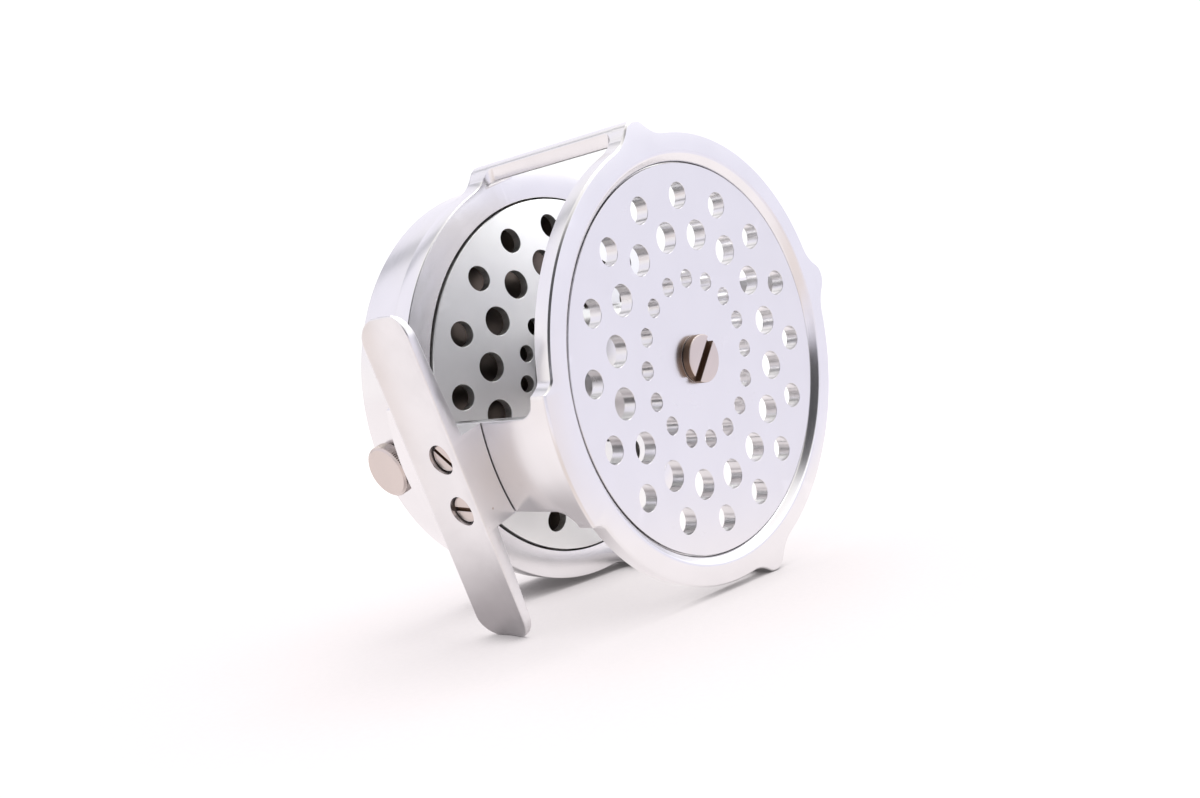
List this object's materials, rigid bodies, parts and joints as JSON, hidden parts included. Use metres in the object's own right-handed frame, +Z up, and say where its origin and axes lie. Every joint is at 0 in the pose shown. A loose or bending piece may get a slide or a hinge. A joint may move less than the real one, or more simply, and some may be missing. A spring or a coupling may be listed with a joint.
{
  "type": "fly reel",
  "caption": "Narrow fly reel with raised pillars: a cage frame with a foot, a perforated spool, and a closed check housing with a crank on the winding side.",
  "frame": {"origin": "middle of the underside of the whole reel's box, on the surface that the reel rests on, with the reel leaning on the lower end of its foot and one pair of ears", "axes": "+Z up; +Y along the spindle, from the open perforated face to the crank; +X away from the foot"},
  "size_m": [0.1058, 0.0772, 0.0916],
  "materials": {
    "satin_aluminium": "satin, fine turned and brushed grain, clear silver anodised",
    "nickel_silver": "satin nickel silver, turned faces",
    "steel": "machined",
    "brass": "machined",
    "black_handle": "polished ebonite"
  },
  "bodies": {
    "cage": {"frame": "satin_aluminium", "check_housing": "satin_aluminium", "front_bearing": "brass", "rear_bearing": "brass", "foot": "satin_aluminium", "foot_screw_1": "nickel_silver", "foot_screw_2": "nickel_silver", "housing_screw_1": "nickel_silver", "housing_screw_2": "nickel_silver", "housing_screw_3": "nickel_silver", "housing_screw_4": "nickel_silver", "pawl_post": "steel", "pawl_clip": "steel", "check_spring": "steel", "spring_post": "steel"},
    "spool": {"front_plate": "satin_aluminium", "rear_flange": "satin_aluminium", "arbor": "satin_aluminium", "spindle": "steel", "arbor_pin": "steel", "spindle_screw": "nickel_silver", "flange_screw_1": "steel", "flange_screw_2": "steel", "flange_screw_3": "steel", "check_gear": "brass", "crank": "satin_aluminium", "crank_nut": "nickel_silver", "crank_washer": "steel", "handle_spindle": "steel"},
    "handle": {"handle_knob": "black_handle"},
    "pawl": {"pawl": "steel"},
    "regulator": {"regulator_knob": "nickel_silver", "regulator_screw": "steel", "regulator_collar": "brass"},
    "tension_block": {"tension_block": "brass"}
  },
  "joints": [
    {"name": "spool_spin", "type": "hinge", "parent": "cage", "child": "spool", "pos_m": [0.00704, -0.03673, 0.04582], "axis": [0, 1, 0], "continuous": true},
    {"name": "handle_spin", "type": "hinge", "parent": "spool", "child": "handle", "pos_m": [0.03469, 0.02828, 0.05459], "axis": [0, 1, 0], "continuous": true},
    {"name": "pawl_lift", "type": "hinge", "parent": "cage", "child": "pawl", "pos_m": [-0.01108, 0.01027, 0.05004], "axis": [0, -1, 0], "range_deg": [0, 8], "stiffness_Nm_per_rad": 0.05, "springref_deg": -17.19, "deforming": ["check_spring"]},
    {"name": "regulator_turn", "type": "hinge", "parent": "cage", "child": "regulator", "pos_m": [-0.0349, 0.01087, 0.03252], "axis": [0.9532, 0, 0.3024], "range_deg": [0, 1080]},
    {"name": "block_slide", "type": "slide", "parent": "cage", "child": "tension_block", "axis": [0.9532, 0, 0.3024], "range_m": [0, 0.003]}
  ],
  "couplings": [
    {"joint": "block_slide", "follows": "regulator_turn", "m_per_rad": 0.00015915}
  ]
}
